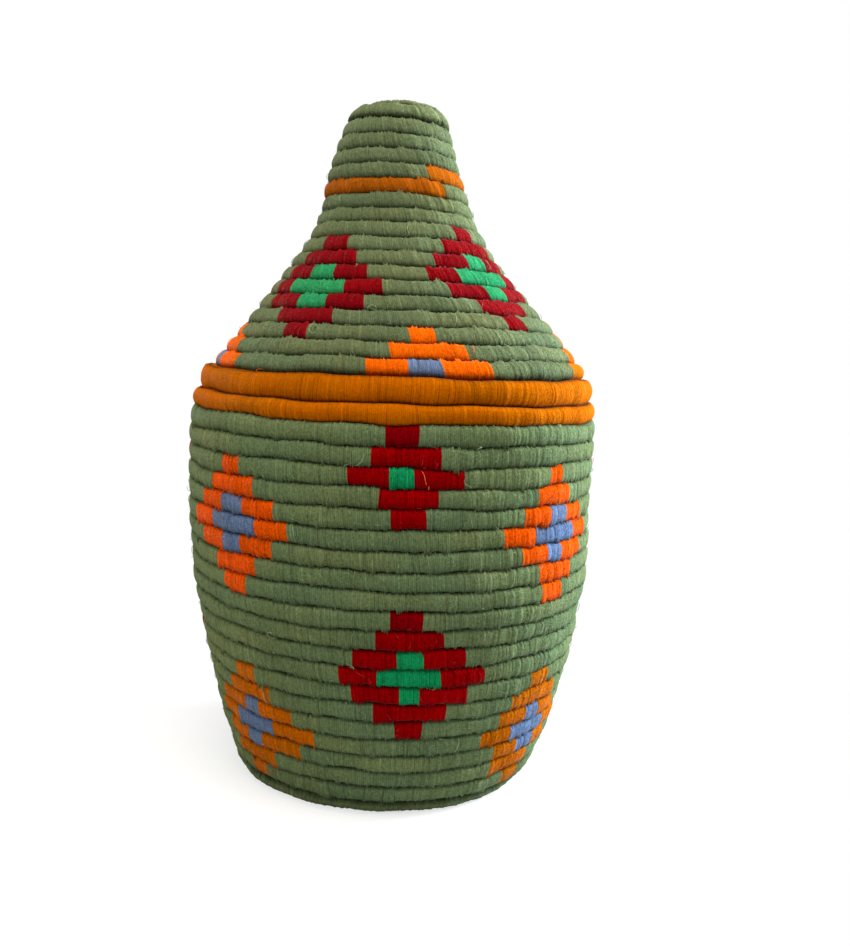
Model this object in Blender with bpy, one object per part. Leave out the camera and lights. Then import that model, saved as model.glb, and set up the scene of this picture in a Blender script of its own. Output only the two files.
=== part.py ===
"""A coiled storage basket with a peaked lid, in metres, +Z up.

The body is one long wrapped coil. It starts at the middle of the base, winds out as a flat
spiral, turns up at the foot and climbs the wall. The lid is another, wound from the middle of its
crown down the neck and out along the cone. Each coil is cut into lengths where its yarn changes.
Both slope one coil thickness a turn, the same way, so the lid rests all round on a sloping
mouth, and their thinned ends lie over one another at the back.

Turns are counted from the rim inwards. The front of the basket faces -Y, and an azimuth is
measured in degrees from there towards +X. The origin is the middle of the base, on the floor.
"""

import math

import bmesh
import bpy
from mathutils import Vector, geometry

# Thickness of the wrapped coil from one turn to the next
COIL = 0.0107
MOUTH_COIL = 0.0101
LID_RIM_COIL = 0.0147
NECK_COIL = 0.0090
LOCATING_COIL = 0.0098

# Clear space between turns, between pieces that touch, and round the ring inside the mouth
TURN_GAP = 0.0006
SEAT_GAP = 0.0003
LOCATING_CLEARANCE = 0.0012
# Depth to which the base is pressed flat where it stands
FLOOR_CUT = 0.0005

# Body, to the middle of the coil
FOOT_RADIUS = 0.0918
FOOT_LEAN = math.radians(18.0)
FOOT_BEND = 0.0070
FOOT_ROUNDNESS = 0.55
BELLY_RADIUS = 0.1193
BELLY_HEIGHT = 0.1700
MOUTH_RADIUS = 0.1172
MOUTH_HEIGHT = 0.2314
MOUTH_FLARE = 0.0010

# Lid, to the middle of the coil, with heights above the mouth at the front
LID_RIM_RADIUS = 0.1143
CONE_FOOT_RADIUS = 0.1063
CONE_FOOT_HEIGHT = 0.0170
CONE_TOP_RADIUS = 0.0560
CONE_TOP_HEIGHT = 0.0800
NECK_FOOT_RADIUS = 0.0415
NECK_FOOT_HEIGHT = 0.1080
NECK_TOP_RADIUS = 0.0270
NECK_TOP_HEIGHT = 0.1610

# The crown, with rises above the top of the neck
CROWN_RADIUS = 0.0195
CROWN_EDGE_RISE = 0.0072
CROWN_RISE = 0.0095

# Where the coils end and where their yarn changes
BACK_AZIMUTH = 180.0
OVERLAP_SHARE = 0.2
RIM_BLEND = 0.3
THINNEST_END = 0.35
WALL_LENGTHS = 3
NECK_ROW = 11
NECK_BAND_ROW = 13
LID_RIM_YARN_AZIMUTH = 65.0
BAND_UPPER_AZIMUTH = 28.0
BAND_LOWER_AZIMUTH = 41.0
SPIRAL_HEART = 0.55

# How far a bend of a profile is drawn out, as a share of its span
BEND = 1 / 3
FOOT_SWELL = 1 / 4

# How finely the coils are cut
STEPS = 24
HEART_STEPS = 12
HEART_RADIUS = 0.040
FLAT_SIDES = 8
WALL_SIDES = 6
OUTER_BULGE = 1.08
# Least share of a step between two rings
SLIVER = 0.03
PROFILE_STEPS = 48
HALVINGS = 30
SEAT_SAMPLES = 4
SHARP_ANGLE = math.radians(75.0)

COLOURS = {
    "sage": (0.145, 0.190, 0.090),
    "ochre": (0.610, 0.205, 0.010),
}
WOOL_ROUGHNESS = 0.9


def clear_scene():
    for obj in list(bpy.data.objects):
        bpy.data.objects.remove(obj)


def yarn(name):
    """A plain wool material in one of the named colours."""
    material = bpy.data.materials.new(name + "_yarn")
    material.use_nodes = True
    shader = material.node_tree.nodes["Principled BSDF"]
    shader.inputs["Base Color"].default_value = (*COLOURS[name], 1.0)
    shader.inputs["Roughness"].default_value = WOOL_ROUGHNESS
    shader.inputs["Metallic"].default_value = 0.0
    material.diffuse_color = (*COLOURS[name], 1.0)
    return material


def ease(value):
    value = min(1.0, max(0.0, value))
    return value * value * (3 - 2 * value)


def angle_round(offset, outward, along):
    """Angle of a corner round a section, started where no section has a corner."""
    angle = math.atan2(offset.dot(along), offset.dot(outward))
    return (angle + math.pi / (2 * FLAT_SIDES)) % (2 * math.pi)


class Profile:
    """The line, in radius and height, that the middle of a coil follows from rim to axis."""

    def __init__(self, spans):
        self.points = [Vector(spans[0][0])]
        for span in spans:
            curve = geometry.interpolate_bezier(*span, PROFILE_STEPS + 1)
            self.points += [Vector(point) for point in curve[1:]]
        self.lengths = [0.0]
        for here, there in zip(self.points, self.points[1:]):
            self.lengths.append(self.lengths[-1] + (there - here).length)
        self.length = self.lengths[-1]

    def corner(self, radius):
        """The distance at which the line, which runs inwards, is down to that radius."""
        return next(far for far, point in zip(self.lengths, self.points) if point.x <= radius)

    def at(self, distance):
        low, high = 0, len(self.points) - 2
        while low < high:
            middle = (low + high + 1) // 2
            if self.lengths[middle] <= distance:
                low = middle
            else:
                high = middle - 1
        here, there = self.points[low], self.points[low + 1]
        return here + (there - here).normalized() * (distance - self.lengths[low])

    def one_coil_on(self, distance, spacing):
        """The distance of the point that lies one spacing, in a straight line, further on."""
        start = self.at(distance)
        near, far = distance, distance + 2 * spacing
        for _ in range(HALVINGS):
            middle = (near + far) / 2
            if (self.at(middle) - start).length < spacing:
                near = middle
            else:
                far = middle
        return near


def straight(start, end):
    """A span of a profile with no bend in it."""
    return (start, start.lerp(end, 1 / 3), start.lerp(end, 2 / 3), end)


class Coil:
    """A coil wound along a profile from its thinned end at the rim to the axis.

    way is 1 where the coil runs towards +X from the rim inwards, or -1. down is the sign of the
    height that the profile runs to from the rim. rim_height is that of the rim at the front.
    """

    def __init__(self, profile, thickness, end_azimuth, way, down, rim_height):
        self.profile, self.thickness = profile, thickness
        self.end_azimuth, self.way, self.down = end_azimuth, way, down
        self.front_turn = (-way * end_azimuth / 360) % 1
        self.rim_height = rim_height
        self.places = []
        for step in range(STEPS):
            turn = step / STEPS
            self.places.append(COIL * turn + thickness(turn) / 2)
        heart = profile.length - SPIRAL_HEART * thickness(math.inf)
        while self.places[-1] < heart:
            turn = len(self.places) / STEPS
            spacing = (thickness(turn - 1) + thickness(turn)) / 2
            self.places.append(profile.one_coil_on(self.places[-STEPS], spacing))
        self.last_turn = (len(self.places) - 1) / STEPS

    def azimuth(self, turn):
        return self.end_azimuth + self.way * 360 * turn

    def turn(self, row, azimuth):
        """The turn that lies in a row, counted from the rim at the front, at an azimuth."""
        return row + self.front_turn + self.way * azimuth / 360

    def turn_past(self, distance):
        """The first turn, at a step, that lies past that distance along the profile."""
        step = 0
        while self.places[step] < distance:
            step += 1
        return step / STEPS

    def middle(self, turn):
        step = min(int(turn * STEPS), len(self.places) - 2)
        share = turn * STEPS - step
        return self.profile.at(self.places[step] * (1 - share) + self.places[step + 1] * share)

    def rim(self, turn):
        """Height of the rim over the first turn: it slopes, and falls back where ends overlap."""
        sloping = max(turn, OVERLAP_SHARE)
        fallen = ease(1 - turn / OVERLAP_SHARE) * (1 - OVERLAP_SHARE)
        return self.rim_height + self.down * COIL * (sloping + fallen - self.front_turn)

    def end(self):
        """The turn, at a step, at which the coil is thinned to its least."""
        step = 0
        while self.rim_space(step / STEPS) < THINNEST_END * COIL:
            step += 1
        return step / STEPS

    def rim_space(self, turn):
        """Height between the rim and the second turn."""
        inner = self.middle(turn).y + self.down * self.thickness(turn) / 2
        return self.down * (inner - self.rim(turn))

    def section(self, turn, sides):
        """Corners of the coil's section, whose flats face the turns on either side."""
        middle = self.middle(turn)
        half = (self.thickness(turn) - TURN_GAP) / 2
        after = before = None
        if turn + 1 <= self.last_turn:
            after = (self.middle(turn + 1) - middle).normalized()
        if turn >= 1:
            before = (self.middle(turn - 1) - middle).normalized()
        else:
            before = Vector((0.0, -self.down))
        after = after or -before
        inner_flat = middle + after * half
        outer_flat = middle + before * half
        along = (after - before).normalized()
        if turn < 1:
            outer_flat.y = self.rim(turn) + self.down * SEAT_GAP / 2
            half = min(half, self.rim_space(turn) / 2)
            middle.y = (inner_flat.y + outer_flat.y) / 2
            along = -before
        outward = Vector((-along.y, along.x)) * -self.down
        flat = half * math.tan(math.pi / sides)
        reach = half * OUTER_BULGE
        ends = [
            outer_flat + Vector((-before.y, before.x)) * flat,
            outer_flat - Vector((-before.y, before.x)) * flat,
            inner_flat + Vector((-after.y, after.x)) * flat,
            inner_flat - Vector((-after.y, after.x)) * flat,
        ]
        if sides == WALL_SIDES:
            corners = ends + [middle + outward * reach, middle - outward * reach]
        else:
            corners = ends
            for side in (1, -1):
                for lift in (1, -1):
                    corners.append(middle + outward * half * side + along * flat * lift)
        return sorted(corners, key=lambda corner: angle_round(corner - middle, outward, along))

    def cut(self, turn):
        """Half the gap between two lengths, as a share of a turn."""
        return SEAT_GAP / 2 / (2 * math.pi * self.middle(turn).x)

    def ring(self, turn, sides, floor):
        """Corners in space at that turn: between two steps they lie on a straight line."""
        step = min(int(turn * STEPS), round(self.last_turn * STEPS) - 1)
        rings = []
        for near in (step, step + 1):
            angle = math.radians(self.azimuth(near / STEPS))
            ring = []
            for corner in self.section(near / STEPS, sides):
                height = max(corner.y, floor)
                ring.append(Vector((corner.x * math.sin(angle), -corner.x * math.cos(angle), height)))
            rings.append(ring)
        share = turn * STEPS - step
        return [here.lerp(there, share) for here, there in zip(*rings)]

    def rings(self, start, stop, sides, floor):
        """The rings at every step from start to stop, with nothing below a floor."""
        turns = [start]
        step = int(start * STEPS + SLIVER) + 1
        while step < stop * STEPS - SLIVER:
            fine = self.middle(step / STEPS).x > HEART_RADIUS
            if fine or step % (STEPS // HEART_STEPS) == 0:
                turns.append(step / STEPS)
            step += 1
        return [self.ring(turn, sides, floor) for turn in [*turns, stop]]

    def least_gap(self, sides):
        """Least space, on points along the coil, between one turn and the next."""
        least = math.inf
        step = int(self.end() * STEPS) + 1
        while (step / STEPS + 1) <= self.last_turn:
            here = self.section(step / STEPS, sides)
            there = self.section(step / STEPS + 1, sides)
            for corner in there:
                for start, stop in zip(here, here[1:] + here[:1]):
                    near, share = geometry.intersect_point_line(corner, start, stop)
                    near = start.lerp(stop, min(1.0, max(0.0, share)))
                    least = min(least, (corner - near).length)
            step += 1
        return least


def wind(name, rings, parent, material):
    """Winds a straight rod into a coil that passes through rings of corners."""
    sides = len(rings[0])
    spans = len(rings) - 1
    bm = bmesh.new()
    bmesh.ops.create_cone(
        bm, cap_ends=True, cap_tris=False, segments=sides, radius1=1.0, radius2=1.0, depth=1.0
    )
    long_edges = [e for e in bm.edges if abs(e.verts[0].co.z - e.verts[1].co.z) > 0.5]
    bmesh.ops.subdivide_edges(bm, edges=long_edges, cuts=spans - 1, use_grid_fill=True)
    for vert in bm.verts:
        corner = round(math.atan2(-vert.co.x, vert.co.y) / (2 * math.pi) * sides) % sides
        vert.co = rings[round((vert.co.z + 0.5) * spans)][corner]
    bmesh.ops.recalc_face_normals(bm, faces=bm.faces[:])
    if bm.calc_volume(signed=True) < 0:
        bmesh.ops.reverse_faces(bm, faces=bm.faces[:])
    mesh = bpy.data.meshes.new(name)
    bm.to_mesh(mesh)
    bm.free()
    mesh.shade_smooth()
    mesh.set_sharp_from_angle(angle=SHARP_ANGLE)
    mesh.materials.append(material)
    obj = bpy.data.objects.new(name, mesh)
    bpy.context.scene.collection.objects.link(obj)
    obj.parent = parent
    return obj


def carrier(name, height):
    """The empty that the lengths of one coil hang on."""
    empty = bpy.data.objects.new(name, None)
    empty.location = (0.0, 0.0, height)
    bpy.context.scene.collection.objects.link(empty)
    return empty


def rim_thickness(turn, rim_coil):
    """The first turn has the rim's thickness, with a gradual change on either side of it."""
    share = ease(turn / RIM_BLEND) - ease((turn - 1) / RIM_BLEND)
    return COIL + (rim_coil - COIL) * share


def body_profile(top):
    """From the mouth down the wall, round the foot and along the floor to the axis."""
    lift = (COIL - TURN_GAP) / 2 - FLOOR_CUT
    lean = Vector((math.sin(FOOT_LEAN), math.cos(FOOT_LEAN)))
    corner = Vector((FOOT_RADIUS, lift))
    foot = corner + lean * FOOT_BEND
    floor_edge = corner - Vector((FOOT_BEND, 0.0))
    mouth = Vector((MOUTH_RADIUS, top))
    belly = Vector((BELLY_RADIUS, BELLY_HEIGHT))
    upper = (top - BELLY_HEIGHT) * BEND
    lower = (BELLY_HEIGHT - foot.y) * FOOT_SWELL
    return Profile([
        (mouth, mouth - Vector((-MOUTH_FLARE, upper)), belly + Vector((0.0, upper)), belly),
        (belly, belly - Vector((0.0, lower)), foot + lean * lower, foot),
        (foot, foot.lerp(corner, FOOT_ROUNDNESS), floor_edge.lerp(corner, FOOT_ROUNDNESS),
         floor_edge),
        straight(floor_edge, Vector((0.0, lift))),
    ])


def lid_profile(bottom):
    """From the rim up the cone and the neck, and over the crown to the axis."""
    rim_foot = Vector((LID_RIM_RADIUS, bottom))
    rim_top = Vector((LID_RIM_RADIUS, CONE_FOOT_HEIGHT / 2))
    cone_foot = Vector((CONE_FOOT_RADIUS, CONE_FOOT_HEIGHT))
    cone_top = Vector((CONE_TOP_RADIUS, CONE_TOP_HEIGHT))
    neck_foot = Vector((NECK_FOOT_RADIUS, NECK_FOOT_HEIGHT))
    neck_top = Vector((NECK_TOP_RADIUS, NECK_TOP_HEIGHT))
    crown_edge = Vector((CROWN_RADIUS, NECK_TOP_HEIGHT + CROWN_EDGE_RISE))
    crown = Vector((0.0, NECK_TOP_HEIGHT + CROWN_RISE))
    up_cone = (cone_top - cone_foot).normalized()
    up_neck = (neck_top - neck_foot).normalized()
    over_crown = (crown - crown_edge).normalized()
    rim_bend = (cone_foot - rim_top).length * BEND
    shoulder = (neck_foot - cone_top).length * BEND
    crown_bend = (crown_edge - neck_top).length * BEND
    return Profile([
        straight(rim_foot, rim_top),
        (rim_top, rim_top + Vector((0.0, rim_bend)), cone_foot - up_cone * rim_bend, cone_foot),
        straight(cone_foot, cone_top),
        (cone_top, cone_top + up_cone * shoulder, neck_foot - up_neck * shoulder, neck_foot),
        straight(neck_foot, neck_top),
        (neck_top, neck_top + up_neck * crown_bend, crown_edge - over_crown * crown_bend,
         crown_edge),
        straight(crown_edge, crown),
    ])


def wind_lengths(coil, parent, lengths):
    """Winds lengths of one coil: each has its name, last turn, number of sides and material."""
    start = coil.end()
    floor = 0.0 if coil.down < 0 else -math.inf
    for name, stop, sides, material in lengths:
        first = start if start < 1 else start + coil.cut(start)
        last = stop if stop == coil.last_turn else stop - coil.cut(stop)
        wind(name, coil.rings(first, last, sides, floor), parent, material)
        start = stop
    least = coil.least_gap(WALL_SIDES)
    print(f"{parent.name}: least gap between turns {least * 1000:.2f} mm")


def make_body(sage, ochre):
    end_azimuth = BACK_AZIMUTH - 180 * OVERLAP_SHARE
    front_turn = (-end_azimuth / 360) % 1
    coil = Coil(
        body_profile(MOUTH_HEIGHT + COIL * front_turn),
        lambda turn: rim_thickness(turn, MOUTH_COIL),
        end_azimuth, 1, -1, MOUTH_HEIGHT,
    )
    # Each length ends at the back, and the base starts where the coil lies flat on the floor
    back = coil.turn(0, BACK_AZIMUTH)
    flat = coil.turn_past(coil.profile.length - FOOT_RADIUS + FOOT_BEND)
    rows = math.ceil(flat - back)
    upper, middle = (back + round(rows * share / WALL_LENGTHS) for share in range(1, WALL_LENGTHS))
    wind_lengths(coil, carrier("basket", 0.0), [
        ("mouth_coil", back, FLAT_SIDES, ochre),
        ("upper_wall_coil", upper, WALL_SIDES, sage),
        ("middle_wall_coil", middle, WALL_SIDES, sage),
        ("lower_wall_coil", back + rows, WALL_SIDES, sage),
        ("base_coil", coil.last_turn, FLAT_SIDES, sage),
    ])


def lid_thickness(turn):
    return rim_thickness(turn, LID_RIM_COIL) - (COIL - NECK_COIL) * ease(turn - NECK_ROW + 0.5)


def make_lid(sage, ochre):
    lid = carrier("lid", MOUTH_HEIGHT)
    end_azimuth = BACK_AZIMUTH + 180 * OVERLAP_SHARE
    front_turn = (end_azimuth / 360) % 1
    profile = lid_profile(-COIL * front_turn)
    coil = Coil(profile, lid_thickness, end_azimuth, -1, 1, 0.0)
    crown_row = round(coil.turn_past(profile.corner(CROWN_RADIUS)) - front_turn)
    wind_lengths(coil, lid, [
        ("lid_rim_coil", coil.turn(1, LID_RIM_YARN_AZIMUTH), FLAT_SIDES, ochre),
        ("lid_cone_coil", coil.turn_past(profile.corner(CONE_TOP_RADIUS)), WALL_SIDES, sage),
        ("lid_shoulder_coil", coil.turn(NECK_BAND_ROW, BAND_LOWER_AZIMUTH), WALL_SIDES, sage),
        ("lid_neck_band_coil", coil.turn(NECK_BAND_ROW + 1, BAND_UPPER_AZIMUTH), WALL_SIDES, ochre),
        ("lid_neck_coil", coil.turn(crown_row, 0.0), WALL_SIDES, sage),
        ("lid_crown_coil", coil.last_turn, WALL_SIDES, sage),
    ])
    make_locating_coil(coil, lid, sage)


def locating_height(coil, turn, radius, half):
    """Height at which a ring of that radius touches the turns of the lid that lie above it."""
    reach = half * OUTER_BULGE + SEAT_GAP
    heights = []
    for above in (turn, turn + 1):
        if above > coil.end() - 1.5 / STEPS:
            corners = coil.section(max(above, coil.end()), FLAT_SIDES)
            for start, stop in zip(corners, corners[1:] + corners[:1]):
                for sample in range(SEAT_SAMPLES):
                    point = start.lerp(stop, sample / SEAT_SAMPLES)
                    aside = abs(point.x - radius)
                    if aside < reach:
                        heights.append(point.y - math.sqrt(reach ** 2 - aside ** 2))
    return min(heights)


def make_locating_coil(coil, lid, sage):
    """A ring under the lid's rim, just inside the mouth, that follows the slope of the rim."""
    half = LOCATING_COIL / 2
    radius = MOUTH_RADIUS - MOUTH_COIL / 2 - LOCATING_CLEARANCE - half
    half_cut = SEAT_GAP / 2 / radius
    rings = []
    for step in range(STEPS + 1):
        turn = step / STEPS
        height = locating_height(coil, turn, radius, half)
        angle = math.radians(coil.azimuth(turn))
        if step == 0:
            angle += coil.way * half_cut
        if step == STEPS:
            angle -= coil.way * half_cut
        ring = []
        for number in range(FLAT_SIDES):
            round_section = (number + 0.5) * 2 * math.pi / FLAT_SIDES
            reach = half / math.cos(math.pi / FLAT_SIDES)
            out = radius + reach * math.cos(round_section)
            up = height + reach * math.sin(round_section)
            ring.append(Vector((out * math.sin(angle), -out * math.cos(angle), up)))
        rings.append(ring)
    wind("lid_locating_coil", rings, lid, sage)


def main():
    clear_scene()
    sage, ochre = yarn("sage"), yarn("ochre")
    make_body(sage, ochre)
    make_lid(sage, ochre)


main()
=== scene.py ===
"""The looks of a lidded basket: wool yarn wrapped round two long coils of plant fibre.

Each coil runs from its rim inwards along a profile, and its yarn is wrapped on it strand by strand.
Turns are counted from the rim inwards. The front of the basket faces -Y, and an azimuth is measured
in degrees from there towards +X. Sizes are in metres.
"""

import math
from collections import namedtuple

import bmesh
import bpy
import numpy as np
from mathutils import Matrix, Vector, geometry


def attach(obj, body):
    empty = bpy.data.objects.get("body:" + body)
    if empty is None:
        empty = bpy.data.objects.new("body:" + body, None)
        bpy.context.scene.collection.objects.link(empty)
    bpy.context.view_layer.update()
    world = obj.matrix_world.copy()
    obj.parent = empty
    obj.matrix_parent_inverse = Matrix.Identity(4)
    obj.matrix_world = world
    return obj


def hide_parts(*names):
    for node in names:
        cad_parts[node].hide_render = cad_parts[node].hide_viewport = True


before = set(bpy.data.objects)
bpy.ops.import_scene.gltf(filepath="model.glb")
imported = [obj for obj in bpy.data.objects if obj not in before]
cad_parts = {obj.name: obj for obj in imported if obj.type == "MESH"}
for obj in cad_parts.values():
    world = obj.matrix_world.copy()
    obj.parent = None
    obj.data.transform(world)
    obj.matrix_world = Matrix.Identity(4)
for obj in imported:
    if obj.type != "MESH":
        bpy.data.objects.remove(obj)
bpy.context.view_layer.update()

# Camera, fitted to the photograph: its place, its tilt and turn, and its principal point in pixels
CAMERA_DISTANCE = 0.6112
CAMERA_HEIGHT = 0.2597
CAMERA_PITCH = 0.1274
CAMERA_ROLL = 0.0231
FOCAL_PIXELS = 979.9
PRINCIPAL_X = 391.5
PHOTO_WIDTH = 850
PHOTO_HEIGHT = 946
SENSOR = 36.0

# Thickness of the wrapped coil from one turn to the next
COIL = 0.0107
MOUTH_COIL = 0.0101
LID_RIM_COIL = 0.0136
NECK_COIL = 0.0090
LOCATING_COIL = 0.0098
TURN_GAP = 0.0006
SEAT_GAP = 0.0003
FLOOR_CUT = 0.0005

# Body, to the middle of the coil
FOOT_RADIUS = 0.0900
FOOT_LEAN = math.radians(18.0)
FOOT_BEND = 0.0070
FOOT_ROUNDNESS = 0.55
BELLY_RADIUS = 0.1193
BELLY_HEIGHT = 0.1700
MOUTH_RADIUS = 0.1172
MOUTH_HEIGHT = 0.2314
MOUTH_FLARE = 0.0010

# Lid, to the middle of the coil, with heights above the mouth at the front
LID_RIM_RADIUS = 0.1143
CONE_FOOT_RADIUS = 0.1063
CONE_FOOT_HEIGHT = 0.0170
CONE_TOP_RADIUS = 0.0560
CONE_TOP_HEIGHT = 0.0800
NECK_FOOT_RADIUS = 0.0415
NECK_FOOT_HEIGHT = 0.1080
NECK_TOP_RADIUS = 0.0270
NECK_TOP_HEIGHT = 0.1605
CROWN_RADIUS = 0.0195
CROWN_EDGE_RISE = 0.0052
CROWN_RISE = 0.0068

# Where the coils end and where their yarn changes, with rows counted from the rim at the front
BACK_AZIMUTH = 180.0
OVERLAP_SHARE = 0.2
RIM_BLEND = 0.3
THINNEST_END = 0.07
SPIRAL_HEART = 0.55
NECK_ROW = 11
NECK_BAND_ROW = 13
CROWN_ROW = 19
LID_RIM_YARN_AZIMUTH = 62.0
BAND_UPPER_AZIMUTH = 28.0
BAND_LOWER_AZIMUTH = 41.0

# How finely the coils are worked out
STEPS = 24
PROFILE_STEPS = 48
HALVINGS = 30

# The yarn: one strand's width, how high it stands, and how many strands a piece has at most
STRAND = 0.00105
STRAND_RELIEF = 0.00058
MOST_STRANDS = 3400
YARN_SEED = 7

# The section of a wrapped coil: its corners, which crowd on its outer side, how far it bulges
# outwards, how far it may reach into the next turn, as a share of half a coil, and where the
# edge of the grid is that it is sewn from
SEGMENTS = 14
CROWDING = 0.4
OUTER_BULGE = 1.02
NESTLE = 0.08
GRID_EDGE = 0.999

# How square a coil is in section, how hard it is pressed on its neighbours, how ragged its edges
# are, and how far its yarn slants
Shape = namedtuple("Shape", "roundness pressed ragged slant")
WALL_SHAPE = Shape(2.75, 1.07, 1.0, 0.0003)
LID_SHAPE = Shape(2.4, 1.13, 0.8, 0.0009)
NECK_SHAPE = Shape(2.4, 1.16, 0.9, 0.0015)
RIM_SHAPE = Shape(2.05, 1.10, 0.25, 0.0002)

# How uneven the wrapping is, from strand to strand, and in waves of a certain length
STRAND_SHIFT = 0.10
HEIGHT_SPREAD = 0.3
HEIGHT_LIMITS = (0.4, 1.6)
DEEP_SHARE = 0.13
DEEP_VALLEY = 0.7
COIL_UNEVEN = 0.02
COIL_WAVE = 0.06
WANDER = 0.00035
WANDER_WAVE = 0.11
LEAN = 0.00045
LEAN_WAVE = 0.06
STRAND_LEAN = 0.00015
# The lengths of the three waves that are summed, as shares
WAVE_SHARES = (1.0, 0.61, 0.37)
# Nearer the axis than this, a strand slants over no larger an angle
LEAST_RADIUS = 0.01

# The edges of a turn: stitches that pull the yarn out on one side, a few strands at a time, and
# teeth on the other, both at an angle from the coil's outer side
STITCH = 0.0026
STITCH_GROUP = 3
STITCH_UNEVEN = 0.6
STITCH_WAVE = 0.05
STITCH_VALLEY = 0.4
STITCH_RISE = 0.35
TOOTH = 0.00036
EDGE_PLACE = math.radians(55.0)
EDGE_SPREAD = math.radians(24.0)

# Painted shade: how much darker the yarn's colour is made between strands and down in the groove
# between turns, where shade falls, and where on the upper and on the lower side of a turn that
# painted shade begins
CREST_SHADE = 0.22
GROOVE_SHADE = 0.84
GROOVE_FADE = 1.4
GROOVE_UNEVEN = (0.75, 1.15)
UPPER_EDGE = 0.72
LOWER_EDGE = 0.42

# How unevenly the yarn is dyed: how bright and how warm it is, in waves and from strand to strand,
# how much less steady yarns differ from strand to strand, and the few strands that are pale
BRIGHT_UNEVEN = 0.06
BRIGHT_WAVE = 0.14
STRAND_BRIGHT = 0.035
WARM_UNEVEN = 0.05
WARM_WAVE = 0.23
STRAND_WARM = 0.02
STEADY_YARNS = ("ochre", "tawny")
STEADY_SHARE = 0.5
PALE_SHARE = 0.04
PALE = 0.22
# How far the sides of a diamond's rows are off, in millimetres
DIAMOND_UNEVEN = 0.5

YARNS = {
    "sage": (0.165, 0.208, 0.093),
    "moss": (0.145, 0.170, 0.080),
    "ochre": (0.580, 0.127, 0.0),
    "tawny": (0.440, 0.098, 0.004),
    "red": (0.355, 0.0, 0.001),
    "wine": (0.262, 0.0, 0.002),
    "crimson": (0.240, 0.003, 0.006),
    "emerald": (0.009, 0.305, 0.100),
    "mint": (0.030, 0.290, 0.105),
    "orange": (0.900, 0.090, 0.0),
    "flame": (0.930, 0.130, 0.002),
    "blue": (0.145, 0.195, 0.345),
}
YARN_NAMES = list(YARNS)
YARN_COLOURS = np.array(list(YARNS.values()))

# The grain of the wool: fibres, tufts and the yarn's twist run with the strands, and felt and
# mottle lie in it all over. Grains are counted to a metre, along the coil and round it.
FIBRE_GRAIN = (5200.0, 420.0, 1.0)
TUFT_GRAIN = (620.0, 250.0, 1.0)
TWIST_SIZE = (0.0005, 0.0019, 1.0)
TWIST_TURN = (0.0, 0.0, 0.5)
FELT_GRAIN = 900.0
MOTTLE_GRAIN = 65.0
# How much each grain shades the wool, and how much it raises it
FIBRE_SHADE = 0.4
FELT_SHADE = 0.6
TUFT_SHADE = 0.7
TWIST_SHADE = 0.8
MIDDLE_SHADE = (FIBRE_SHADE + FELT_SHADE + TUFT_SHADE + TWIST_SHADE) / 2
GRAIN_BUMP = 0.6
TWIST_BUMP = 1.2
BUMP_STRENGTH = 0.8
BUMP_HEIGHT = 0.0003
WOOL_LIGHT = 1.09
WOOL_ROUGHNESS = 0.58
FIBRE_ROUGHNESS = 0.2
SHEEN_ROUGHNESS = 0.3
BLUISH = (0.84, 0.97, 0.98, 1.0)

# The margins between rows of yarn, and between fibres, on the maps that a finish is baked to
ROW_MARGIN = 0.03
FIBRE_MARGIN = 0.05

# The knot a coil starts from: its ridges and rings, how far round it is from the coil's end, and
# its width, height and distance from the axis in half coils
KNOT_RIDGES = 24
KNOT_RINGS = 12
KNOT_TURN = 45.0
KNOT_WIDTH = 1.75
KNOT_HEIGHT = 0.92
KNOT_PLACE = 0.85
KNOT_RELIEF = 0.05
# How much darker the knot's colour is made between its ridges: painted shade
KNOT_SHADE = 0.12
KNOT_MAP_SIZE = (0.02, 0.01)

# Loose fibres: their thickness, how much of it their ends lose, and how finely they are drawn
FIBRE = 0.00030
FIBRE_TAPER = 0.7
FIBRE_STEPS = 8
FIBRE_SIDES = 4
FIBRE_SEED = 50
FIBRE_MAP_SIZE = (0.004, 0.001)
# A direction that no fibre runs in
FIBRE_SIDEWAYS = (0.31, 0.44, 0.84)
# Where on the coil's round they lie and how far they run, in radians, how far they stand off it,
# how far they run aside and curl, and how much paler they are than the yarn
FIBRE_PLACE = 0.6
FIBRE_SWEEP = 0.7
FIBRE_CLEARANCE = 0.00015
FIBRE_LIFT = 0.0007
FIBRE_ARCH = 0.8
FIBRE_SLOPE = 0.0018
FIBRE_CURL = 0.0007
FIBRE_BEND = 5
FIBRE_BEND_START = 3
FIBRE_GAIN = 1.35
FIBRE_PALE = 0.02

# Loops and stray ends: their thickness and how finely they are drawn, how far they roll back, in
# radians to a metre of curl, how far they stand off at least, and how much paler they are
LOOP = 0.00042
LOOP_STEPS = 20
LOOP_ROLL = 125.0
LOOP_CLEARANCE = 0.0003
LOOP_GAIN = 1.4
LOOP_PALE = 0.05
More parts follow.
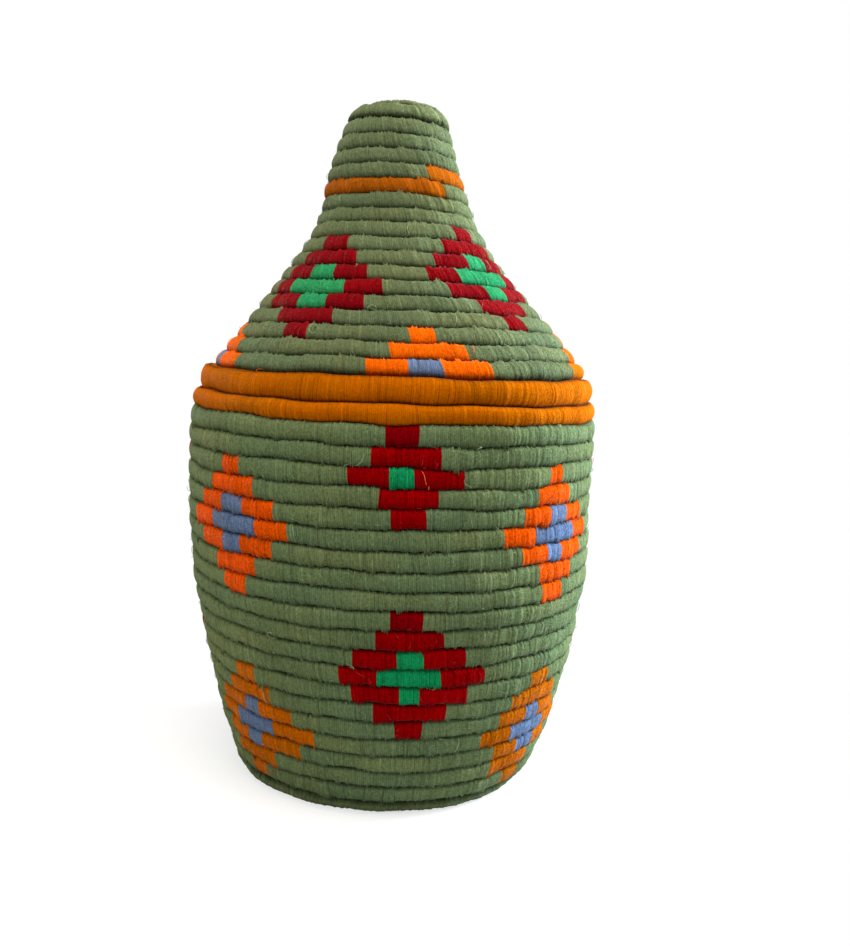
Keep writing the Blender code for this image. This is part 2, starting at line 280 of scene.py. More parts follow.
# For each loop or stray end: its yarn, row, azimuth, half turns of curl, the angle on the coil where
# it starts, how far it runs on round it, how far it stands off, how far it runs aside, and the
# width of its curl
BODY_LOOPS = [
    ("sage", 2.0, -6.0, 1.2, -30.0, 120.0, 0.0012, -0.0060, 0.0010),
    ("sage", 2.0, -11.5, 3.0, 60.0, 35.0, 0.0015, 0.0060, 0.0018),
    ("sage", 1.0, 20.7, 2.0, 40.0, 50.0, 0.0015, 0.0020, 0.0016),
    ("orange", 3.0, 7.4, 0.5, -40.0, 70.0, 0.0004, 0.0020, 0.0006),
    ("orange", 3.0, 9.2, 0.5, 30.0, 50.0, 0.0006, -0.0010, 0.0008),
    ("sage", 11.0, -32.0, 3.0, 20.0, 60.0, 0.0014, 0.0015, 0.0020),
    ("sage", 11.0, -31.0, 2.0, 50.0, 40.0, 0.0018, -0.0030, 0.0012),
    ("sage", 12.0, -9.8, 2.0, 50.0, 45.0, 0.0012, 0.0040, 0.0012),
    ("sage", 6.0, -24.0, 1.0, -60.0, 110.0, 0.0005, 0.0030, 0.0004),
    ("sage", 8.0, 33.0, 1.0, -60.0, 115.0, 0.0006, -0.0032, 0.0004),
    ("sage", 15.0, -38.0, 1.0, -50.0, 110.0, 0.0005, 0.0028, 0.0003),
    ("sage", 17.0, 22.0, 1.0, -60.0, 115.0, 0.0006, -0.0026, 0.0004),
    ("sage", 5.0, 27.0, 1.5, 40.0, 50.0, 0.0012, 0.0020, 0.0012),
    ("sage", 9.0, 124.0, 1.6, 30.0, 60.0, 0.0014, 0.0020, 0.0016),
    ("sage", 4.0, -150.0, 1.6, 30.0, 60.0, 0.0014, 0.0020, 0.0016),
    ("sage", 13.0, 160.0, 1.0, -60.0, 115.0, 0.0006, -0.0026, 0.0004),
    ("sage", 16.0, -112.0, 2.2, 30.0, 60.0, 0.0013, 0.0020, 0.0014),
]
LID_LOOPS = [
    ("sage", 5.0, -9.8, 3.4, -50.0, 30.0, 0.0016, 0.0012, 0.0022),
    ("sage", 3.0, -27.6, 2.6, -20.0, 50.0, 0.0014, -0.0010, 0.0016),
    ("sage", 12.0, -46.0, 1.6, -30.0, 70.0, 0.0012, 0.0012, 0.0010),
    ("sage", 2.0, -50.5, 0.4, -30.0, 80.0, 0.0003, 0.0060, 0.0004),
    ("sage", 8.0, 54.0, 2.0, -40.0, 60.0, 0.0012, 0.0010, 0.0012),
    ("sage", 7.0, -19.6, 2.0, 10.0, 60.0, 0.0008, 0.0016, 0.0010),
    ("orange", 2.0, 21.3, 0.6, -20.0, 70.0, 0.0006, 0.0010, 0.0006),
    ("sage", 4.0, 18.0, 1.0, -60.0, 110.0, 0.0004, 0.0034, 0.0004),
    ("sage", 3.0, 33.0, 1.0, -60.0, 110.0, 0.0004, -0.0034, 0.0004),
    ("sage", 10.0, 6.0, 2.0, -50.0, 70.0, 0.0008, 0.0020, 0.0010),
    ("sage", 6.0, 150.0, 2.2, -30.0, 60.0, 0.0012, 0.0020, 0.0014),
    ("sage", 9.0, -120.0, 2.2, -30.0, 60.0, 0.0012, 0.0020, 0.0014),
    ("ochre", 1.0, -43.5, 2.4, -75.0, 25.0, 0.0014, 0.0030, 0.0018),
]

# How the rows rise and sink: by how much, in waves how many round the basket, and how they
# change with height. Near the floor they lie even, and they sway most where the basket is wide.
SWAYS = (
    (0.0004, 5, 110.0, 0.4),
    (0.0003, 12, -160.0, 2.1),
    (0.00016, 23, 230.0, 4.4),
)
STEADY_HEIGHT = 0.03
SWAY_GROWTH = 1.5

# How the hand-made shape departs from an even one: at a height, its shift towards +X, its lift,
# and how much wider it is, as a share
BODY_WARP = [
    (0.000, -0.0013, 0.0, -0.006),
    (0.012, -0.0009, 0.0, -0.019),
    (0.030, 0.0000, 0.0, -0.005),
    (0.080, 0.0005, 0.0, 0.006),
    (0.105, 0.0000, 0.0, 0.005),
    (0.122, 0.0002, 0.0, 0.012),
    (0.140, -0.0002, 0.0, 0.000),
    (0.165, -0.0012, 0.0, -0.008),
    (0.195, -0.0007, 0.0, -0.004),
    (0.215, 0.0000, 0.0, 0.000),
    (0.232, 0.0004, 0.0, -0.005),
]
LID_WARP = [
    (0.231, 0.0012, 0.0, -0.010),
    (0.240, 0.0021, 0.0, -0.015),
    (0.250, 0.0027, 0.0, -0.005),
    (0.270, 0.0025, 0.0, 0.000),
    (0.285, 0.0012, 0.0, -0.012),
    (0.305, 0.0000, 0.0, -0.025),
    (0.325, -0.0003, 0.0, -0.005),
    (0.345, -0.0008, 0.0, -0.005),
    (0.362, -0.0022, 0.0, 0.000),
    (0.380, -0.0021, 0.0, -0.010),
    (0.391, -0.0016, 0.0002, -0.030),
    (0.402, -0.0006, 0.0008, -0.060),
]

# The floor: where it fades to white, how bright it is by itself, and what it throws back
FLOOR_RADIUS = 3.0
FLOOR_SIDES = 96
FADE_START = 0.09
FADE_END = 0.30
FLOOR_GLOW = 0.72
FLOOR_COLOUR = (0.38, 0.38, 0.38, 1.0)
FLOOR_BOUNCE = (0.62, 0.62, 0.60, 1.0)
WHITE = (1.0, 1.0, 1.0, 1.0)

# The light from all sides, and each lamp's place, width, power and colour
AMBIENT = 0.28
AMBIENT_COLOUR = (0.92, 0.97, 1.0, 1.0)
LAMP_TARGET = (0.0, 0.0, 0.2)
LAMPS = {
    "top_light": ((0.02, -0.40, 1.36), 0.8, 16.9, (1.0, 0.95, 0.86)),
    "right_light": ((1.0, 0.25, 0.58), 0.55, 28.5, (0.79, 0.92, 1.0)),
    "left_light": ((-1.0, -0.08, 0.15), 1.0, 4.8, (1.0, 0.88, 0.62)),
}


class Value:
    """A socket of a material's nodes. Arithmetic on it adds Math nodes."""

    def __init__(self, tree, socket):
        self.tree, self.socket = tree, socket

    def math(self, operation, first, second):
        node = self.tree.nodes.new("ShaderNodeMath")
        node.operation = operation
        for place, value in zip(node.inputs, (first, second)):
            join(self.tree, place, value)
        return Value(self.tree, node.outputs[0])

    def __add__(self, other):
        return self.math("ADD", self, other)

    def __radd__(self, other):
        return self.math("ADD", other, self)

    def __sub__(self, other):
        return self.math("SUBTRACT", self, other)

    def __rsub__(self, other):
        return self.math("SUBTRACT", other, self)

    def __mul__(self, other):
        return self.math("MULTIPLY", self, other)

    def __rmul__(self, other):
        return self.math("MULTIPLY", other, self)


def join(tree, place, value):
    if isinstance(value, Value):
        tree.links.new(value.socket, place)
    else:
        place.default_value = value


class Nodes:
    """The nodes of a material or of the world, added by type, settings and inputs."""

    def __init__(self, owner):
        owner.use_nodes = True
        self.tree = owner.node_tree
        self.tree.nodes.clear()

    def node(self, kind, settings=None, inputs=None, output=0):
        """Adds a node, and returns the output of that place or name, if it has any."""
        node = self.tree.nodes.new("ShaderNode" + kind)
        for name, setting in (settings or {}).items():
            setattr(node, name, setting)
        for name, value in (inputs or {}).items():
            join(self.tree, node.inputs[name], value)
        return Value(self.tree, node.outputs[output]) if node.outputs else None

    def mix(self, factor, first, second, blend="MIX"):
        """A mix of two colours."""
        settings = {"data_type": "RGBA", "blend_type": blend}
        return self.node("Mix", settings, {0: factor, 6: first, 7: second}, output=2)

    def noise(self, place, scale, detail, roughness=0.5, dimensions="2D"):
        return self.node("TexNoise", {"noise_dimensions": dimensions}, {
            "Vector": place, "Scale": scale, "Detail": detail, "Roughness": roughness
        })

    def straight_rays(self):
        """1 for the rays that show a thing itself, and 0 for those that carry its light."""
        camera, glossy, through = (
            self.node("LightPath", output=f"Is {kind} Ray")
            for kind in ("Camera", "Glossy", "Transmission")
        )
        return camera + glossy + through


def wool(name, uneven, sheen):
    """Wrapped wool: the colour of each strand, darker between strands and in the grooves by painted
    shade, with fine fibres along it.
    """
    material = bpy.data.materials.new(name)
    nodes = Nodes(material)
    yarn = nodes.node("Attribute", {"attribute_name": "yarn"}, output="Color")
    # The painted shade between strands and in the grooves, given at each vertex
    painted_shade = nodes.node("Attribute", {"attribute_name": "painted_shade"}, output="Fac")
    wrap = nodes.node("UVMap", {"uv_map": "wrap"})
    place = nodes.node("TexCoord", output="Object")
    fibre_place = nodes.node("Mapping", inputs={"Vector": wrap, "Scale": FIBRE_GRAIN})
    tuft_place = nodes.node("Mapping", inputs={"Vector": wrap, "Scale": TUFT_GRAIN})
    twist_place = nodes.node("Mapping", {"vector_type": "TEXTURE"}, {
        "Vector": wrap, "Rotation": TWIST_TURN, "Scale": TWIST_SIZE
    })
    fibre = nodes.noise(fibre_place, 1.0, detail=2.0, roughness=0.6)
    tuft = nodes.noise(tuft_place, 1.0, detail=3.0, roughness=0.6)
    twist = nodes.noise(twist_place, 1.0, detail=1.0)
    felt = nodes.noise(place, FELT_GRAIN, detail=3.0, dimensions="3D")
    mottle = nodes.noise(place, MOTTLE_GRAIN, detail=4.0, dimensions="3D")
    grain = fibre * FIBRE_SHADE + felt * FELT_SHADE + tuft * TUFT_SHADE + twist * TWIST_SHADE
    # The grain's random tone, times the painted shade between strands and in the grooves
    light = ((grain - MIDDLE_SHADE) * uneven + WOOL_LIGHT) * painted_shade
    grey = nodes.node("CombineColor", inputs={"Red": light, "Green": light, "Blue": light})
    shaded = nodes.mix(1.0, yarn, grey, "MULTIPLY")
    bluish = nodes.mix(1.0, shaded, BLUISH, "MULTIPLY")
    height = fibre * GRAIN_BUMP + felt * GRAIN_BUMP + tuft * GRAIN_BUMP + twist * TWIST_BUMP
    bump = nodes.node("Bump", inputs={
        "Strength": BUMP_STRENGTH, "Distance": BUMP_HEIGHT, "Height": height
    }, output="Normal")
    shader = nodes.node("BsdfPrincipled", inputs={
        "Base Color": nodes.mix(mottle, shaded, bluish),
        "Roughness": WOOL_ROUGHNESS + fibre * FIBRE_ROUGHNESS,
        "Specular IOR Level": 0.0,
        "Sheen Weight": sheen,
        "Sheen Roughness": SHEEN_ROUGHNESS,
        "Normal": bump,
    })
    nodes.node("OutputMaterial", inputs={"Surface": shader})
    return material


WOOLS = {
    "sage_yarn": wool("sage_wool", uneven=1.1, sheen=0.11),
    "ochre_yarn": wool("ochre_wool", uneven=0.55, sheen=0.06),
}


def ease(value):
    value = np.clip(value, 0.0, 1.0)
    return value * value * (3 - 2 * value)


def mesh_of(name, bm):
    mesh = bpy.data.meshes.new(name)
    bm.to_mesh(mesh)
    bm.free()
    return mesh


def set_out(name, data):
    """A new object of the scene."""
    thing = bpy.data.objects.new(name, data)
    bpy.context.scene.collection.objects.link(thing)
    return thing


def unit(vectors):
    return vectors / np.maximum(np.linalg.norm(vectors, axis=-1, keepdims=True), 1e-9)


class Profile:
    """The line, in radius and height, that the middle of a coil follows from rim to axis."""

    def __init__(self, spans):
        points = [spans[0][0]]
        for span in spans:
            points += geometry.interpolate_bezier(*span, PROFILE_STEPS + 1)[1:]
        self.points = np.array([tuple(point) for point in points])
        gaps = np.linalg.norm(np.diff(self.points, axis=0), axis=1)
        self.lengths = np.concatenate([[0.0], np.cumsum(gaps)])
        self.length = self.lengths[-1]

    def at(self, distance):
        sides = [np.interp(distance, self.lengths, side) for side in self.points.T]
        return np.stack(sides, axis=-1)

    def distance(self, radius):
        """The distance at which the line, which runs inwards, is down to that radius."""
        return self.lengths[np.argmax(self.points[:, 0] <= radius)]

    def one_coil_on(self, distance, spacing):
        """The distance of the point that lies one spacing, in a straight line, further on."""
        start = self.at(distance)
        near, far = distance, distance + 2 * spacing
        for _ in range(HALVINGS):
            middle = (near + far) / 2
            if np.linalg.norm(self.at(middle) - start) < spacing:
                near = middle
            else:
                far = middle
        return near


def straight(start, end):
    return (start, start.lerp(end, 1 / 3), start.lerp(end, 2 / 3), end)


class Diamonds:
    """Stepped diamonds in one yarn, round the basket, with a cross of another yarn if need be.

    For each row from the top down, rows and heart_rows tell how far it runs to either side of the
    centre, in millimetres.
    """

    def __init__(self, yarn, first_row, rows, centres, heart="", heart_row=0, heart_rows=()):
        self.centres = centres
        self.patterns = ((yarn, first_row, rows), (heart, heart_row, heart_rows))

    def dye(self, yarns, coil, turn, rng):
        """Sets the yarn of the strands that lie in the diamonds."""
        radius = coil.middle(turn)[:, 0] + COIL / 2
        for centre in self.centres:
            aside = (coil.azimuth(turn) - centre + 180) % 360 - 180
            row = np.rint(coil.row(turn, centre + aside))
            place = np.radians(aside) * radius * 1000
            for yarn, first, rows in self.patterns:
                for number, sides in enumerate(rows):
                    left, right = sides + rng.normal(0.0, DIAMOND_UNEVEN, 2)
                    inside = (row == first + number) & (place > left) & (place < right)
                    yarns[inside] = YARN_NAMES.index(yarn)


# Azimuths of the middles of the red diamonds, of which the first row is wound in wine
UPPER_RED_CENTRES = (3.5, 92.0, 178.0, -94.0)
LOWER_RED_CENTRES = (6.2, 96.0, 180.0, -96.5)
BODY_DIAMONDS = [
    Diamonds("wine", 1, ((-10.6, 5.8),), UPPER_RED_CENTRES),
    Diamonds("red", 2, ((-18.1, 18.5), (-30.0, 31.5), (-12.7, 18.5), (-6.6, 11.5)),
             UPPER_RED_CENTRES, "emerald", 3, ((-7.9, 5.3),)),
    Diamonds("orange", 3, ((-10.2, 3.7), (-19.5, 16.5), (-30.0, 30.3), (-40.5, 39.5),
                           (-31.2, 29.0), (-15.9, 16.8), (-8.8, 9.6)),
             (-43.6, 137.0), "blue", 5, ((-8.9, 8.5), (-19.0, 18.0), (-9.3, 5.9))),
    Diamonds("orange", 3, ((-8.0, 4.1), (-16.5, 11.5), (-26.1, 29.0), (-40.0, 39.0),
                           (-26.5, 31.5), (-13.0, 19.0), (-10.0, 9.0)),
             (48.2, -137.0), "blue", 5, ((-6.4, 9.8), (-17.0, 19.0), (-6.5, 4.9))),
    Diamonds("wine", 10, ((-11.2, 4.6),), LOWER_RED_CENTRES),
    Diamonds("red", 11, ((-19.1, 16.8), (-30.9, 30.9), (-39.0, 41.9), (-31.6, 32.4),
                         (-18.7, 21.0), (-8.0, 7.6)),
             LOWER_RED_CENTRES, "emerald", 12, ((-8.4, 5.9), (-18.2, 16.8), (-5.6, 5.0))),
    Diamonds("ochre", 14, ((-12.2, 4.7), (-19.6, 13.8), (-32.3, 27.5), (-41.5, 39.6),
                           (-33.0, 28.5), (-25.8, 9.6), (-16.3, -1.0)),
             (-42.9, 138.0), "blue", 16, ((-7.3, 3.1), (-19.7, 11.5), (-11.7, 0.8))),
    Diamonds("ochre", 14, ((-8.2, 9.6), (-19.4, 20.4), (-28.0, 27.0), (-36.8, 44.0),
                           (-25.4, 29.0), (-23.5, 11.4), (-8.0, 8.0)),
             (50.0, -135.0), "blue", 16, ((-6.0, 5.7), (-14.9, 17.5), (-5.9, 10.6))),
]
LID_DIAMONDS = [
    Diamonds("crimson", 9, ((-11.5, 6.6), (-23.9, 17.0), (-33.6, 28.0), (-39.2, 39.8),
                            (-36.3, 34.0), (-20.9, 19.0), (-8.6, 8.1)),
             (324.5, 185.0), "mint", 11, ((-10.4, 6.6), (-21.9, 18.2), (-8.4, 11.8))),
    Diamonds("crimson", 9, ((-6.1, 9.0), (-18.3, 24.0), (-30.3, 31.0), (-39.9, 39.9),
                            (-32.5, 38.0), (-20.5, 18.5), (-8.7, 5.6)),
             (45.5, 115.0, 255.0), "mint", 11, ((-7.3, 7.1), (-19.5, 19.5), (-7.5, 8.9))),
    Diamonds("flame", 15, ((-9.9, 5.0), (-21.2, 19.7), (-34.9, 34.5)),
             (368.6, 88.0, 154.0, 221.0, 287.0), "blue", 17, ((-12.2, 5.6),)),
]


class Coil:
    """A coil wound along a profile from its thinned end at the rim to the axis.

    way is 1 where the coil runs towards +X from the rim inwards, or -1. down is the sign of the
    height that the profile runs to from the rim. spans() gives the curves of the profile, row()
    counts the rows of the diamonds, and bands() lists what is wrapped in another yarn all the way,
    with its first and last turn.
    """

    def __init__(self):
        self.front_turn = (-self.way * self.end_azimuth / 360) % 1
        self.profile = Profile(self.spans())
        steps = np.arange(STEPS) / STEPS
        self.places = list(COIL * steps + self.thickness(steps) / 2)
        heart = self.profile.length - SPIRAL_HEART * self.thickness(math.inf)
        while self.places[-1] < heart:
            turn = len(self.places) / STEPS
            spacing = (self.thickness(turn - 1) + self.thickness(turn)) / 2
            self.places.append(self.profile.one_coil_on(self.places[-STEPS], spacing))
        self.last_turn = (len(self.places) - 1) / STEPS
        self.fine = np.linspace(0, self.last_turn, len(self.places) * 4)
        girth = 2 * math.pi * (self.middle(self.fine)[:, 0] + COIL / 4)
        lengths = (girth[1:] + girth[:-1]) / 2 * np.diff(self.fine)
        self.run = np.concatenate([[0.0], np.cumsum(lengths)])

    def thickness(self, turn):
        """The first turn is as thick as the rim, with a gradual change on either side of it."""
        share = ease(np.asarray(turn) / RIM_BLEND) - ease((np.asarray(turn) - 1) / RIM_BLEND)
        return COIL + (self.rim_coil - COIL) * share

    def azimuth(self, turn):
        return self.end_azimuth + self.way * 360 * turn

    def turn(self, row, azimuth):
        """The turn that lies in a row, counted from the rim at the front, at an azimuth."""
        return row + self.front_turn + self.way * azimuth / 360

    def turn_past(self, distance):
        """The first turn, at a step, that lies past that distance along the profile."""
        return np.searchsorted(self.places, distance) / STEPS

    def middle(self, turn):
        distance = np.interp(np.asarray(turn) * STEPS, np.arange(len(self.places)), self.places)
        return self.profile.at(distance)

    def rim(self, turn):
        """Height of the rim over the first turn: it slopes, and falls back where ends overlap."""
        sloping = np.maximum(turn, OVERLAP_SHARE)
        fallen = ease(1 - turn / OVERLAP_SHARE) * (1 - OVERLAP_SHARE)
        return MOUTH_HEIGHT + self.down * COIL * (sloping + fallen - self.front_turn)

    def rim_space(self, turn):
        """Height between the rim and the second turn."""
        inner = self.middle(turn)[..., 1] + self.down * self.thickness(turn) / 2
        return self.down * (inner - self.rim(turn))

    def dye(self, turn, rng):
        """The yarn of each strand."""
        yarns = np.full(len(turn), YARN_NAMES.index(self.yarn))
        for diamonds in self.diamonds:
            diamonds.dye(yarns, self, turn, rng)
        for yarn, start, stop in self.bands():
            yarns[(turn > start) & (turn < stop)] = YARN_NAMES.index(yarn)
        return yarns

    def end(self):
        """The turn at which the coil is thinned to its least."""
        turns = np.linspace(0, 1, PROFILE_STEPS * STEPS)
        return turns[np.argmax(self.rim_space(turns) >= THINNEST_END * COIL)]

    def frames(self, turn):
        """Middles, half sizes, and the directions outwards and along the profile, at each turn."""
        middle = self.middle(turn)
        half = self.thickness(turn) / 2
        first = turn < 1
        up = np.broadcast_to((0.0, -self.down), middle.shape)
        before = np.where(first[:, None], up, unit(self.middle(turn - 1) - middle))
        inside = turn + 1 <= self.last_turn
        after = np.where(inside[:, None], unit(self.middle(turn + 1) - middle), -before)
        along = np.where(first[:, None], -before, unit(after - before))
        rim = self.rim(turn) + self.down * SEAT_GAP / 2
        inner = middle[:, 1] + after[:, 1] * half
        middle[:, 1] = np.where(first, (inner + rim) / 2, middle[:, 1])
        half = np.where(first, np.minimum(half, self.rim_space(turn) / 2), half)
        outward = np.stack([-along[:, 1], along[:, 0]], axis=-1) * -self.down
        return middle, half, outward, along


class BodyCoil(Coil):
    """The coil of the basket: its mouth, its wall down to the foot, and its base."""

    body = "basket"
    yarn = "sage"
    diamonds = BODY_DIAMONDS
    warp = BODY_WARP
    seed = 200
    rim_coil = MOUTH_COIL
    end_azimuth = BACK_AZIMUTH - 180 * OVERLAP_SHARE
    way = 1
    down = -1

    def spans(self):
        top = MOUTH_HEIGHT + COIL * self.front_turn
        lift = (COIL - TURN_GAP) / 2 - FLOOR_CUT
        lean = Vector((math.sin(FOOT_LEAN), math.cos(FOOT_LEAN)))
        corner = Vector((FOOT_RADIUS, lift))
        foot = corner + lean * FOOT_BEND
        floor_edge = corner - Vector((FOOT_BEND, 0.0))
        mouth = Vector((MOUTH_RADIUS, top))
        belly = Vector((BELLY_RADIUS, BELLY_HEIGHT))
        upper = (top - BELLY_HEIGHT) / 3
        lower = (BELLY_HEIGHT - foot.y) / 4
        return [
            (mouth, mouth - Vector((-MOUTH_FLARE, upper)), belly + Vector((0.0, upper)), belly),
            (belly, belly - Vector((0.0, lower)), foot + lean * lower, foot),
            (foot, foot.lerp(corner, FOOT_ROUNDNESS), floor_edge.lerp(corner, FOOT_ROUNDNESS),
             floor_edge),
            straight(floor_edge, Vector((0.0, lift))),
        ]

    def row(self, turn, azimuth):
        """The row of the wall, counted downwards from the mouth."""
        return turn - self.front_turn - azimuth / 360

    def bands(self):
        return [("ochre", -1.0, self.turn(0, BACK_AZIMUTH))]


class LidCoil(Coil):
    """The coil of the lid: its rim, its cone, its neck and its crown."""

    body = "lid"
    yarn = "moss"
    diamonds = LID_DIAMONDS
    warp = LID_WARP
    seed = 400
    rim_coil = LID_RIM_COIL
    end_azimuth = BACK_AZIMUTH + 180 * OVERLAP_SHARE
    way = -1
    down = 1

    def spans(self):
        up = Vector((0.0, MOUTH_HEIGHT))
        rim_foot = up + Vector((LID_RIM_RADIUS, -COIL * self.front_turn))
        rim_top = up + Vector((LID_RIM_RADIUS, CONE_FOOT_HEIGHT / 2))
        cone_foot = up + Vector((CONE_FOOT_RADIUS, CONE_FOOT_HEIGHT))
        cone_top = up + Vector((CONE_TOP_RADIUS, CONE_TOP_HEIGHT))
        neck_foot = up + Vector((NECK_FOOT_RADIUS, NECK_FOOT_HEIGHT))
        neck_top = up + Vector((NECK_TOP_RADIUS, NECK_TOP_HEIGHT))
        crown_edge = up + Vector((CROWN_RADIUS, NECK_TOP_HEIGHT + CROWN_EDGE_RISE))
        crown = up + Vector((0.0, NECK_TOP_HEIGHT + CROWN_RISE))
        up_cone = (cone_top - cone_foot).normalized()
        up_neck = (neck_top - neck_foot).normalized()
        over_crown = (crown - crown_edge).normalized()
        rim_bend = (cone_foot - rim_top).length / 3
        shoulder = (neck_foot - cone_top).length / 3
        crown_bend = (crown_edge - neck_top).length / 3
        return [
            straight(rim_foot, rim_top),
            (rim_top, rim_top + Vector((0.0, rim_bend)), cone_foot - up_cone * rim_bend,
             cone_foot),
            straight(cone_foot, cone_top),
            (cone_top, cone_top + up_cone * shoulder, neck_foot - up_neck * shoulder, neck_foot),
            straight(neck_foot, neck_top),
            (neck_top, neck_top + up_neck * crown_bend, crown_edge - over_crown * crown_bend,
             crown_edge),
            straight(crown_edge, crown),
        ]

    def thickness(self, turn):
        return super().thickness(turn) - (COIL - NECK_COIL) * ease(turn - NECK_ROW + 0.5)

    def row(self, turn, azimuth):
        """The row of the lid, counted downwards from the crown."""
        return CROWN_ROW + self.front_turn - turn - azimuth / 360

    def bands(self):
        neck_start = self.turn(NECK_BAND_ROW, BAND_LOWER_AZIMUTH)
        neck_end = self.turn(NECK_BAND_ROW + 1, BAND_UPPER_AZIMUTH)
        rim_end = self.turn(1, LID_RIM_YARN_AZIMUTH)
        return [("ochre", -1.0, rim_end), ("tawny", neck_start, neck_end)]


class LocatingRing(LidCoil):
    """The ring under the lid, along the middle of the solid that stands for it."""

    diamonds = ()
    seed = 500

    def __init__(self):
        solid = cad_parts["lid_locating_coil"].data.vertices
        points = np.array([vertex.co for vertex in solid])
        azimuth = np.degrees(np.arctan2(points[:, 0], -points[:, 1]))
        steps = np.rint((azimuth - self.end_azimuth) * self.way / 360 % 1 * STEPS)
        around = [points[steps == step] for step in range(STEPS + 1)]
        self.heights = [(ring[:, 2].min() + ring[:, 2].max()) / 2 for ring in around]
        radii = np.hypot(points[:, 0], points[:, 1])
        self.radius = (radii.min() + radii.max()) / 2
        self.fine = np.linspace(0, 1, STEPS + 1)
        self.run = self.fine * 2 * math.pi * self.radius

    def bands(self):
        return []

    def frames(self, turn):
        height = np.interp(turn, self.fine, self.heights)
        middle = np.stack([np.full_like(turn, self.radius), height], axis=-1)
        half = np.full_like(turn, LOCATING_COIL / 2)
        outward = np.broadcast_to((1.0, 0.0), middle.shape)
        along = np.broadcast_to((0.0, 1.0), middle.shape)
        return middle, half, outward, along


def waves(rng, run, length):
    """A smooth irregular wave of about that length, between about -1 and 1."""
    total = np.zeros_like(run)
    for share in WAVE_SHARES:
        total += np.sin(2 * math.pi * run / (length * share) + rng.uniform(0, 2 * math.pi))
    return total / 2


def squared(side, shape):
    """A sine or cosine round a circle, as it is round a squarish section."""
    return np.sign(side) * np.abs(side) ** (2 / shape.roundness)


def warped(points, warp):
    """Points moved as the hand-made shape departs from an even one, by their height."""
    height = points[..., 2]
    level, aside, lift, widen = np.array(warp).T
    grown = 1 + np.interp(height, level, widen)
    azimuth = np.arctan2(points[..., 0], -points[..., 1])
    radius = np.hypot(points[..., 0], points[..., 1])
    sway = sum(
        size * np.sin(around * azimuth + upwards * height + start)
        for size, around, upwards, start in SWAYS
    )
    sway = sway * ease(height / STEADY_HEIGHT) * (radius / BELLY_RADIUS) ** SWAY_GROWTH
    return np.stack([
        points[..., 0] * grown + np.interp(height, level, aside),
        points[..., 1] * grown,
        np.maximum(height + sway + np.interp(height, level, lift), 0.0),
    ], axis=-1)


def wound_mesh(name, columns, segments):
    """A closed tube with that many columns of vertices, sewn from a grid.

    For each corner of its sides it comes with the corner's vertex, column and segment.
    """
    bm = bmesh.new()
    bm.loops.layers.uv.new("wrap")
    bmesh.ops.create_grid(
        bm, x_segments=columns - 1, y_segments=segments, size=1.0, calc_uvs=True
    )
    edges = [sorted((v for v in bm.verts if v.co.y * side > GRID_EDGE), key=lambda v: v.co.x)
             for side in (1, -1)]
    bmesh.ops.weld_verts(bm, targetmap=dict(zip(*edges)))
    bmesh.ops.holes_fill(bm, edges=[e for e in bm.edges if e.is_boundary], sides=0)
    mesh = mesh_of(name, bm)
    corners = 4 * (columns - 1) * segments
    share = np.zeros(len(mesh.loops) * 2, np.float32)
    mesh.uv_layers["wrap"].uv.foreach_get("vector", share)
    share = share.reshape(-1, 2)[:corners]
    column = np.rint(share[:, 0] * (columns - 1)).astype(int)
    segment = np.rint(share[:, 1] * segments).astype(int)
    vertex = np.zeros(len(mesh.loops), np.int32)
    mesh.loops.foreach_get("vertex_index", vertex)
    return mesh, vertex[:corners], column, segment


def lay_map(mesh, name, places):
    layer = mesh.uv_layers.get(name) or mesh.uv_layers.new(name=name)
    layer.uv.foreach_set("vector", places.astype(np.float32).ravel())


def bake_rows(corners, column, segment, columns, run):
    """A map that lays the yarn of a coil in stacked rows, for a finish that is baked."""
    rows = math.ceil(math.sqrt((run[-1] - run[0]) / (math.pi * COIL)))
    per_row = math.ceil((columns - 1) / rows)
    row = np.repeat(column.reshape(-1, 4).min(axis=1) // per_row, 4)
    places = np.zeros((corners, 2))
    places[:len(column), 0] = (column - row * per_row) / per_row
    inside = ROW_MARGIN + (1 - 2 * ROW_MARGIN) * segment / SEGMENTS
    places[:len(column), 1] = (row + inside) / rows
    return places


def dye_and_paint_shade(mesh, colours, shades):
    """Gives a mesh the colour of the yarn at each face, and its painted shade at each vertex."""
    shown = np.ones((len(mesh.polygons), 4), np.float32)
    shown[:, :3] = colours
    mesh.attributes.new("yarn", "FLOAT_COLOR", "FACE").data.foreach_set("color", shown.ravel())
    painted_shade = mesh.attributes.new("painted_shade", "FLOAT", "POINT")
    painted_shade.data.foreach_set("value", shades.astype(np.float32))


def finished(name, mesh, body, slot):
    """A piece of that mesh, smooth and with its faces outwards, that rides on a body."""
    bm = bmesh.new()
    bm.from_mesh(mesh)
    bmesh.ops.recalc_face_normals(bm, faces=bm.faces[:])
    if bm.calc_volume(signed=True) < 0:
        bmesh.ops.reverse_faces(bm, faces=bm.faces[:])
    bm.to_mesh(mesh)
    bm.free()
    mesh.shade_smooth()
    mesh.materials.append(WOOLS[slot])
    piece = set_out(name, mesh)
    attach(piece, body)
    return piece


def tinted(rng, slow, yarns, run):
    """The colour of each strand: its yarn's, uneven from dyeing and from strand to strand."""
    steady = np.isin(yarns, [YARN_NAMES.index(name) for name in STEADY_YARNS])
    own = rng.normal(0.0, STRAND_BRIGHT, len(run)) * np.where(steady, STEADY_SHARE, 1.0)
    pale = np.where(rng.random(len(run)) < PALE_SHARE, PALE, 0.0)
    bright = 1 + waves(slow, run, BRIGHT_WAVE) * BRIGHT_UNEVEN + own + pale
    warm = waves(slow, run, WARM_WAVE) * WARM_UNEVEN + rng.normal(0.0, STRAND_WARM, len(run))
    tint = np.stack([bright * (1 + warm), bright, bright * (1 - warm)], axis=-1)
    return np.clip(YARN_COLOURS[yarns] * tint, 0.0, 1.0)


